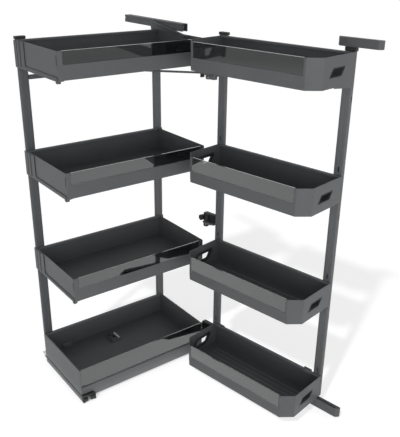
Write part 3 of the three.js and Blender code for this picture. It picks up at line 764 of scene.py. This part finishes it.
class PANTRY_OT_glass_fronts(bpy.types.Operator):
    """Makes the smoked glass fronts with arrised edges"""
    bl_idname = "pantry.glass_fronts"
    bl_label = "Glass fronts"

    def execute(self, context):
        for rack_name in ("inner", "door"):
            for i in LEVELS:
                node = f"{rack_name}_glass_{i}"
                shape = merged_copy(node)
                if node == "inner_glass_4":
                    left, middle, right = (rack(x, 0, 0).x for x in (0.2, INNER_LENGTH / 2, INNER_LENGTH - 0.2))
                    for vert in shape.verts:
                        vert.co.x = left if vert.co.x < middle else right
                dress(f"arrised_{node}", shape, BODY_OF[node], "smoked_glass",
                      context.scene.pantry_sizes.rim_radius, [node])
        return {"FINISHED"}


def tube_outline(x, y, inset):
    """A flat tube's outline with round corners and a groove along each broad face."""
    width, depth = (size - 2 * inset for size in TUBE_SIZE)
    radius, groove, sink = 4 - inset, 2.2 + inset * 0.4, 0.8
    middle = (x + TUBE_SIZE[0] / 2, y + TUBE_SIZE[1] / 2)
    half = []
    for dx, dy in ((-groove, 0), (sink - groove, sink), (groove - sink, sink), (groove, 0)):
        half.append((dx, dy - depth / 2))
    for quarter, side in ((-1, -1), (0, 1)):
        centre = (width / 2 - radius, side * (depth / 2 - radius))
        half += [(centre[0] + radius * cos(pi / 2 * (quarter + i / 5)),
                  centre[1] + radius * sin(pi / 2 * (quarter + i / 5))) for i in range(6)]
    return [(middle[0] + u, middle[1] + v) for u, v in half + [(-u, -v) for u, v in half]]


class PANTRY_OT_uprights(bpy.types.Operator):
    """Makes the flat tube uprights with their slots, and the caps on them"""
    bl_idname = "pantry.uprights"
    bl_label = "Uprights and caps"

    def execute(self, context):
        hole = ("x", circle(256.3, 192, 3, 12), 1)
        edge_slot = ("x", rounded(rectangle(4.3, 8.3, 308, 320), 1.8), 3)
        # The left inner upright takes the darker coat and the right one the lighter: painted shade and painted
        # light on one tube
        for side, x, coat in (("left", 0, "dark_coat"), ("right", INNER_LENGTH - TUBE_SIZE[1], "tube_coat")):
            self.tube(f"inner_upright_{side}", rack, (x, 250.3), (22.3, TUBE_TOPS["inner"]),
                      [(hole, (x - 1, x + 2))], coat)
        for side, x, foot in (("hinge_side", 36, 13), ("free_side", 437, 44)):
            face_slot = ("y", rounded(rectangle(x + 11.8, x + 16.2, 126, 140), 2), 3)
            self.tube(f"door_upright_{side}", door, (x, 0.3), (foot, TUBE_TOPS["door"]),
                      [(face_slot, (-1, 3)), (edge_slot, (x + 26, x + 29))])
        moulded_pieces({
            "moulded_inner_cap": "inner_upright_cap",
            "moulded_door_cap_hinge_side": "door_cap_hinge_side",
            "moulded_door_cap_free_side": "door_cap_free_side",
        })
        return {"FINISHED"}

    def tube(self, node, where, corner, span, punchings, material="tube_coat"):
        """One upright, punched with rows of slots: each is an axis, outline and count, and the punch's reach"""
        outer, inner = (tube_outline(*corner, inset) for inset in (0, TUBE_WALL))
        low, high = span
        shape = bmesh.new()
        skin(shape, [[where(x, y, z) for x, y in outline]
                     for outline, z in ((outer, low), (outer, high), (inner, high), (inner, low))], ring=True)
        mesh = plain_mesh(node, shape)
        for (axis, outline, count), reach in punchings:
            punch = bmesh.new()
            prism(punch, where, axis, outline, reach)
            tool = put_in_scene("punch", plain_mesh("punch", punch))
            mesh = grown_by_tree(mesh, "punched_slots", "coat", Punch=tool, Count=count,
                                 Step=(0, 0, LEVEL_PITCH * MM))
            bpy.data.objects.remove(tool)
        mesh.set_sharp_from_angle(angle=SHARP_EDGE)
        piece = add_piece(f"tube_{node}", mesh, BODY_OF[node], "coat", [node], material)
        piece.modifiers.new("Flat faces", "WEIGHTED_NORMAL").keep_sharp = True


class PANTRY_OT_arms(bpy.types.Operator):
    """Makes the arms under the inner trays, the base frame and the cross bar"""
    bl_idname = "pantry.arms"
    bl_label = "Arms and base frame"

    def execute(self, context):
        places = []
        for i in LEVELS[:3]:
            bottom = inner_tray_bottom(i)
            for side, face, way in (("left", -2.3, -1), ("right", INNER_LENGTH + 2.3, 1)):
                node = f"tray_arm_{side}_{i}"
                shape = merged_copy(node)
                leg_top, lower_top = bottom + 13, bottom + 8.5
                for vert in shape.verts:
                    if abs(vert.co.z - leg_top * MM) < 0.1 * MM:
                        vert.co.z = lower_top * MM
                cuts = bmesh.new()
                for groove in ((217.5, 221), (222.6, 227), (240.5, 244.5)):
                    prism(cuts, rack, "z", rectangle(*sorted((face + way, face - 1.6 * way)), *groove),
                          (bottom + 4, bottom + INNER_HEIGHT))
                inner = sorted((face - 0.7 * way, face - 2.5 * way))
                top = bottom + INNER_HEIGHT
                prism(cuts, rack, "x", [(2, bottom + 5.5), (200, bottom + 5.5), (200, top), (194, top),
                                        (194, bottom + 11), (2, bottom + 11)], inner)
                foot = sorted((face - 10.5 * way, face - 21 * way))
                prism(cuts, rack, "x", rectangle(1, 14, bottom - 9, bottom - 2.3), foot)
                dress(f"folded_arm_{side}_{i}", carve(shape, cuts), "inner_rack", "coat", replaced=[node],
                      material="dark_coat")
            places.append((-2.1, 252, bottom + 28))
        screws("arm_screws", "inner_rack", "steel", rack, TO_LEFT, places, 3, 0.8, "dark_steel")
        # The base frame takes the coat painted paler near the floor: painted light from the floor's bounce
        dress_node("folded_base_frame", "inner_base_frame", "coat", material="painted_bounce_coat")
        dress_node("folded_cross_bar", "inner_cross_bar", "dark_coat")
        return {"FINISHED"}


class PANTRY_OT_runners(bpy.types.Operator):
    """Makes the floor rails, the channels that run on them and their caps"""
    bl_idname = "pantry.runners"
    bl_label = "Floor runners"

    def execute(self, context):
        # The cap's mouth and the lobes in it leave room for the rail, which passes through them
        mouth = [(15.8, 1), (15.8, 3.8), (4.8, 3.8), (4.8, 13), (19, 13), (19, 20)]
        cap_outline = mouth + [(-u, z) for u, z in reversed(mouth)] + [
            (-21, 1), (-21, 24), (13, 24), (21, 20.6), (21, 1)]
        lobe_outline = [(4.8, 3.8), (15.8, 3.8), (15.8, 1.2), (18.6, 1.2), (18.6, 13), (4.8, 13)]
        sides = ("left", 18, -3, -1), ("right", INNER_LENGTH - 18, INNER_LENGTH + 3, 1)
        for side, middle, outer, way in sides:
            dress_node(f"rolled_floor_rail_{side}", f"floor_rail_{side}", "steel")
            groove, groove_shade_strip, cap = bmesh.new(), bmesh.new(), bmesh.new()
            # A black strip sunk in the channel's groove: painted shade for the dark gap under the cheek
            prism(groove_shade_strip, rack, "y", rectangle(*sorted((outer - 0.2 * way, outer - 1.3 * way)), 14.8, 20.2),
                  (-1, 258))
            dress(f"moulded_buffer_strip_{side}", groove_shade_strip, "inner_rack", "black_plastic", 0.2 * MM)
            prism(groove, rack, "y", rectangle(*sorted((outer + way, outer - 1.4 * way)), 14.6, 20.4),
                  (-8, 270))
            # The channels take the coat painted paler near the floor: painted light from the floor's bounce
            dress(f"rolled_channel_{side}", carve(merged_copy(f"runner_channel_{side}"), groove), "inner_rack",
                  "coat", replaced=[f"runner_channel_{side}"], material="painted_bounce_coat")
            prism(cap, rack, "y", [(middle - way * u, z) for u, z in cap_outline], (-13, -2.3))
            for lobe in (1, -1):
                prism(cap, rack, "y", [(middle + lobe * u, z) for u, z in lobe_outline], (-2.4, 24))
            dress(f"moulded_end_cap_{side}", cap, "inner_rack", "black_plastic", 0.3 * MM,
                  [f"runner_end_cap_{side}"])
        return {"FINISHED"}


class PANTRY_OT_top_guide(bpy.types.Operator):
    """Makes the top guide with its bolts, and the braced carriage in it with its glides"""
    bl_idname = "pantry.top_guide"
    bl_label = "Top guide"

    def execute(self, context):
        groove = bmesh.new()
        prism(groove, rack, "y", rectangle(440, 442.2, 1057.5, 1062.5), (108, 424))
        dress("rolled_top_guide", carve(merged_copy("top_guide_rail"), groove), "cabinet_side", "dark_coat",
              replaced=["top_guide_rail"])
        carriage = merged_copy("top_carriage")
        prism(carriage, rack, "x", [(242, 1039.2), (262, 1039.2), (262, 1063), (256, 1066), (244, 1066),
                                    (238, 1060)], (438.1, 439.4))
        prism(carriage, rack, "x", [(74, 1029), (96, 1029), (100, 1038.6), (242, 1038.6), (242, 1062),
                                    (236, 1062), (74, 1038)], (438.2, 439.4))
        prism(carriage, rack, "x", [(74, 1036.6), (236, 1060.6), (236, 1062), (74, 1038)], (428, 438.3))
        prism(carriage, rack, "z", rectangle(439.3, 448.2, 74, 76), (1029, 1036))
        dress("pressed_top_carriage", carriage, "inner_rack", "dark_coat", 0.5 * MM, ["top_carriage"])
        screws("guide_bolts", "cabinet_side", "dark_coat", rack, TO_LEFT,
               [(441.2, y, 1052) for y in (134, 146, 330, 400)], 3.4, 1.1)
        screws("carriage_bolts", "inner_rack", "steel", rack, TO_LEFT,
               [(438.4, 250, 1061), (438.4, 250, 1046), (438.6, 82, 1033)], 2.8, 1.4, "dark_steel")
        moulded_pieces({"moulded_glide_front": "top_glide_front", "moulded_glide_rear": "top_glide_rear"})
        return {"FINISHED"}


class PANTRY_OT_hinges(bpy.types.Operator):
    """Makes the hinge plates, arms, straps and pins, and the screws that hold them"""
    bl_idname = "pantry.hinges"
    bl_label = "Hinges"

    def execute(self, context):
        plate_screws, arm_screws = [], []
        for level, base in HINGE_BASES.items():
            self.plate(level, base)
            self.arm(level, base)
            self.strap(level, base)
            self.pin(level, base)
            plate_screws += [(488.2, 23, base + z) for z in (15, 31)]
            arm_screws += [(x, 3.8, base + 30) for x in (19, 30)]
        screws("hinge_plate_screws", "cabinet_side", "steel", rack, TO_LEFT, plate_screws, 3.6, 1.2,
               "dark_steel")
        screws("hinge_arm_screws", "door_rack", "steel", door, TO_FRONT, arm_screws, 3.2, 1.2, "dark_steel")
        return {"FINISHED"}

    def plate(self, level, base):
        """The cast plate with its round boss; the top one has a lug below, too"""
        cuts = bmesh.new()
        prism(cuts, rack, "x", [(28, base + 8), (50, base + 8), (50, base + 50), (0, base + 50), (0, base + 39),
                                (22, base + 39), (28, base + 33)], (487, 493))
        prism(cuts, rack, "z", rectangle(460, 486, 0, 24), (base + 8, base + 17.4))
        shape = carve(merged_copy(f"hinge_plate_{level}"), cuts)
        turned(shape, rack, "x", (22.2, base + 29.6), [(455.5, 7), (457, 9), (468, 9)])
        if level == "top":
            prism(shape, rack, "z", rectangle(455.5, 467.5, 25, 30.5), (base + 5, base + 30))
        dress(f"cast_hinge_plate_{level}", shape, "cabinet_side", "dark_coat", 0.9 * MM,
              [f"hinge_plate_{level}"], 3, "black_coat")

    def arm(self, level, base):
        """The cast arm: a square lug on the pin, and the web that joins it to the strap"""
        shape = bmesh.new()
        prism(shape, door, "z", [(-6, -7), (10, -7), (14, -4), (35.7, -4), (35.7, 10), (-3, 10), (-6, 7)],
              (base + 40, base + 46))
        prism(shape, door, "z", [(8.6, 4), (35.7, 4), (35.7, 9.8), (8.6, 9.8)], (base + 17.3, base + 40.2))
        dress(f"cast_hinge_arm_{level}", self.bored(shape, base + 39, base + 50), "door_rack", "dark_coat",
              1.2 * MM, [f"hinge_arm_{level}"], 3, "black_coat")

    def strap(self, level, base):
        """The pressed strap above the knob; the top one has a block below, too"""
        shape = bmesh.new()
        prism(shape, door, "z", [(-8, -9), (26, -9), (30, -4), (35.7, -4), (35.7, 10), (-3, 10), (-8, 7)],
              (base + 11, base + 17))
        if level == "top":
            prism(shape, door, "z", [(11, -9), (25, -9), (29, -4), (29, 6), (11, 6)], (base + 1.5, base + 11.4))
        # The strap takes the lighter coat: painted light
        dress(f"pressed_hinge_strap_{level}", self.bored(shape, base + 5, base + 20), "door_rack", "dark_coat",
              1.2 * MM, segments=3, material="tube_coat")

    def bored(self, shape, low, high):
        """The shape with a bore for the pin"""
        bore = bmesh.new()
        prism(bore, door, "z", circle(0, 0, 4.3), (low, high))
        return carve(shape, bore)

    def pin(self, level, base):
        """The pin with its round knob below"""
        shape = bmesh.new()
        steps = [(0, 7.2), (1.6, 9), (9.2, 9), (10.7, 7.4), (10.7, 4), (46, 4), (48.5, 1.4)]
        turned(shape, rack, "z", HINGE_AXIS, [(base + z, radius) for z, radius in steps], 28)
        dress(f"turned_hinge_pin_{level}", shape, "cabinet_side", "steel", 0.3 * MM, [f"hinge_pin_{level}"],
              material="dark_steel")


class PANTRY_OT_door_bars(bpy.types.Operator):
    """Makes the two bars that guide the door, bolted to the free upright"""
    bl_idname = "pantry.door_bars"
    bl_label = "Door bars"

    def execute(self, context):
        for level, ends, back, span, slot in (("top", (414, 532), 12.3, (1058.7, 1079.7), (1050, 1070)),
                                              ("bottom", (404, 539), 0, (13.7, 43.7), (31, 50))):
            front = back - 14
            bar, groove = bmesh.new(), bmesh.new()
            prism(bar, door, "z", [(ends[0], front + 8), (ends[0] + 8, front), (ends[1] - 8, front),
                                   (ends[1], front + 8), (ends[1], back), (ends[0], back)], span)
            prism(groove, door, "z", rounded(rectangle(467, ends[1] - 11, front + 1.3, front + 5.7), 2), slot)
            dress(f"bevelled_door_bar_{level}", carve(bar, groove), "door_rack", "dark_coat", 1.2 * MM,
                  [f"door_bar_{level}"], 3)
        screws("bar_bolts", "door_rack", "dark_coat", door, TO_FRONT,
               [(424, -1.5, 1069), (440, -1.5, 1069), (418, -13.8, 29), (440, -13.8, 29)], 3.2, 1.4)
        return {"FINISHED"}


class PANTRY_OT_link(bpy.types.Operator):
    """Makes the link rod with its bracket and pins"""
    bl_idname = "pantry.link"
    bl_label = "Link rod"

    def execute(self, context):
        dress_node("pressed_link_bracket", "link_bracket", "dark_coat")
        dress_node("drawn_link_rod", "link_rod", "dark_coat", 0.6 * MM)
        dress_node("turned_link_pin_inner", "link_pin_inner", "steel")
        dress_node("turned_link_pin_door", "link_pin_door", "steel")
        screws("bracket_screws", "door_rack", "steel", door, TO_FRONT, [(42, -2.1, 941), (58, -2.1, 941)],
               2.8, 1.2)
        return {"FINISHED"}


class PANTRY_OT_tray_lock(bpy.types.Operator):
    """Makes the plate, latch and pin that lock the lowest tray, and the catch in its rear corner"""
    bl_idname = "pantry.tray_lock"
    bl_label = "Tray lock"

    def execute(self, context):
        dress_node("moulded_lock_plate", "tray_lock_plate", "black_plastic", 0.5 * MM, material="dark_coat")
        # The pin takes the near-white coat: partly zinc, partly a painted highlight on its top
        dress_node("turned_lock_pin", "tray_lock_pin", "steel", 0.8 * MM, material="glint_white_zinc")
        latch = bmesh.new()
        blocks = (207, 205, 8, 6), (217, 190, 4, 10), (222.5, 190, 2.5, 9), (202, 185, 5, 6)
        for x, y, width, length in blocks:
            prism(latch, rack, "z", rectangle(x, x + width, y, y + length), (39.8, 43.5))
        dress("moulded_lock_latch", latch, "inner_rack", "black_plastic", 0.5 * MM)
        catch = bmesh.new()
        prism(catch, rack, "x", [
            (232, 37.6), (246, 37.6), (246, 47), (244.6, 47), (244.6, 39.2), (232, 39.2)], (58, 88))
        # The catch takes the lighter coat: painted light
        dress("folded_tray_catch", catch, "inner_rack", "coat", 0.5 * MM, material="tube_coat")
        return {"FINISHED"}


WHITE = (1, 1, 1, 1)


def white_room(world, horizon, ceiling):
    """A white room: plain white to the eye, and lit from low down all round, with a darker ceiling."""
    world.use_nodes = True
    tree = world.node_tree
    tree.nodes.clear()
    direction = add_node(tree, "ShaderNodeTexCoord").outputs["Generated"]
    height = add_node(tree, "ShaderNodeSeparateXYZ", {0: direction}).outputs["Z"]
    level = add_node(tree, "ShaderNodeMapRange", {
        "Value": height, "From Min": 0.0, "From Max": 0.3, "To Min": horizon, "To Max": ceiling})
    seen = add_node(tree, "ShaderNodeBackground", {"Color": WHITE, "Strength": 1.0})
    light = add_node(tree, "ShaderNodeBackground", {"Color": WHITE, "Strength": level.outputs["Result"]})
    path = add_node(tree, "ShaderNodeLightPath")
    mixed = add_node(tree, "ShaderNodeMixShader", {
        0: path.outputs["Is Diffuse Ray"], 1: seen.outputs[0], 2: light.outputs[0]})
    add_node(tree, "ShaderNodeOutputWorld", {"Surface": mixed.outputs[0]})


def floor_paper(name):
    """Matt white paper: it glows a little to the eye, so that only the object's shadow shows on it."""
    material, tree, place = new_material(name)
    lit = add_node(tree, "ShaderNodeBsdfDiffuse", {"Color": linear_colour(0xE6E6E6)})
    shade = add_node(tree, "ShaderNodeBsdfDiffuse", {"Color": (0.36, 0.36, 0.36, 1)})
    # The glow fades right under the rack and close around it, by ambient occlusion: painted shade on the floor
    near = add_node(tree, "ShaderNodeAmbientOcclusion", {"Distance": 50 * MM}, samples=4)
    glow_after_painted_shade = add_node(tree, "ShaderNodeMapRange", {
        "Value": near.outputs["AO"], "From Min": 0.05, "From Max": 0.4, "To Min": 0.0, "To Max": 0.76})
    glow = add_node(tree, "ShaderNodeEmission", {"Color": WHITE, "Strength": glow_after_painted_shade.outputs["Result"]})
    soft = add_node(tree, "ShaderNodeAddShader", {0: shade.outputs[0], 1: glow.outputs[0]})
    # A mirror of the paper stays white, and darkens some metres away
    reach = add_node(tree, "ShaderNodeVectorMath", {0: place}, operation="LENGTH")
    falloff = add_node(tree, "ShaderNodeMapRange", {
        "Value": reach.outputs["Value"], "From Min": 2.5, "From Max": 6.0, "To Min": 1.0, "To Max": 0.45})
    mirrored = add_node(tree, "ShaderNodeEmission", {"Color": WHITE, "Strength": falloff.outputs["Result"]})
    path = add_node(tree, "ShaderNodeLightPath")
    eye = add_node(tree, "ShaderNodeMath", {
        0: path.outputs["Is Camera Ray"], 1: path.outputs["Is Transmission Ray"]}, operation="MAXIMUM")
    first = add_node(tree, "ShaderNodeMixShader", {0: eye.outputs[0], 1: lit.outputs[0], 2: soft.outputs[0]})
    mixed = add_node(tree, "ShaderNodeMixShader", {
        0: path.outputs["Is Glossy Ray"], 1: first.outputs[0], 2: mirrored.outputs[0]})
    add_node(tree, "ShaderNodeOutputMaterial", {"Surface": mixed.outputs[0]})
    return material


def camera_matrix():
    """The camera's place and turn, from its heading, pitch and roll."""
    yaw, pitch, roll = (radians(a) for a in (CAMERA_HEADING, CAMERA_PITCH, CAMERA_ROLL))
    forward = Vector((cos(yaw) * cos(pitch), sin(yaw) * cos(pitch), -sin(pitch)))
    level = Vector((sin(yaw), -cos(yaw), 0))
    upright = level.cross(forward)
    right = level * cos(roll) + upright * sin(roll)
    up = upright * cos(roll) - level * sin(roll)
    return Matrix.Translation(CAMERA_PLACE) @ Matrix((right, up, -forward)).transposed().to_4x4()


def add_lamp(name, kind, energy, aim, place=(0, 0, 0)):
    """A lamp that shines along a direction."""
    light = bpy.data.lights.new(name, kind)
    light.energy = energy
    lamp = put_in_scene(name, light)
    lamp.location = place
    lamp.rotation_euler = Vector(aim).to_track_quat("-Z", "Y").to_euler()
    return lamp


class PANTRY_OT_stage(bpy.types.Operator):
    """Makes the camera, the floor and the soft studio light"""
    bl_idname = "pantry.stage"
    bl_label = "Stage"

    def execute(self, context):
        scene, lighting = context.scene, context.scene.pantry_stage
        scene.view_settings.view_transform = "Standard"
        lens = bpy.data.cameras.new("studio_camera")
        lens.lens = CAMERA_LENS
        lens.sensor_width = CAMERA_SENSOR
        scene.camera = put_in_scene("studio_camera", lens)
        scene.camera.matrix_world = camera_matrix()
        mesh = bpy.data.meshes.new("studio_floor")
        reach = 30.0  # metres each way, past the horizon of the view
        mesh.from_pydata([(x, y, 0) for x, y in rectangle(-reach, reach, -reach, reach)], [], [(0, 1, 2, 3)])
        mesh.materials.append(floor_paper("floor_paper"))
        floor = put_in_scene("studio_floor", mesh)
        key = add_lamp("key_light", "SUN", lighting.sun, (0.82, 0.40, -1))
        key.data.angle = radians(3)
        # The key light only casts the object's shadow; the room and the softbox light the object
        lit = bpy.data.collections.new("floor_only")
        lit.objects.link(floor)
        key.light_linking.receiver_collection = lit
        front = add_lamp("front_softbox", "AREA", lighting.softbox, (1.1, 3.0, -0.3), (-0.9, -3.1, 0.9))
        front.data.size = 2.2
        scene.world = bpy.data.worlds.new("white_room")
        white_room(scene.world, lighting.room, lighting.ceiling)
        return {"FINISHED"}


PIECES = (
    PANTRY_OT_inner_trays, PANTRY_OT_door_trays, PANTRY_OT_glass_fronts, PANTRY_OT_uprights, PANTRY_OT_arms,
    PANTRY_OT_runners, PANTRY_OT_top_guide, PANTRY_OT_hinges, PANTRY_OT_door_bars, PANTRY_OT_link,
    PANTRY_OT_tray_lock, PANTRY_OT_stage,
)


class PANTRY_PT_panel(bpy.types.Panel):
    """Lists the pantry's pieces, sizes and colours"""
    bl_idname = "PANTRY_PT_panel"
    bl_label = "Tall pantry pull-out"
    bl_space_type = "VIEW_3D"
    bl_region_type = "UI"
    bl_category = "Pantry"

    def draw(self, context):
        for group in (context.scene.pantry_finishes, context.scene.pantry_sizes, context.scene.pantry_stage):
            for name in group.__annotations__:
                self.layout.prop(group, name)
        for piece in PIECES:
            self.layout.operator(piece.bl_idname)


GROUPS = {"pantry_finishes": PantryFinishes, "pantry_sizes": PantrySizes, "pantry_stage": PantryStage}


def register():
    for group in (*GROUPS.values(), *PIECES, PANTRY_PT_panel):
        bpy.utils.register_class(group)
    for name, group in GROUPS.items():
        setattr(bpy.types.Scene, name, bpy.props.PointerProperty(type=group))


def unregister():
    for name in GROUPS:
        delattr(bpy.types.Scene, name)
    for group in reversed((*GROUPS.values(), *PIECES, PANTRY_PT_panel)):
        bpy.utils.unregister_class(group)


def main():
    register()
    for piece in PIECES:
        group, name = piece.bl_idname.split(".")
        getattr(getattr(bpy.ops, group), name)()


if __name__ == "__main__":
    main()
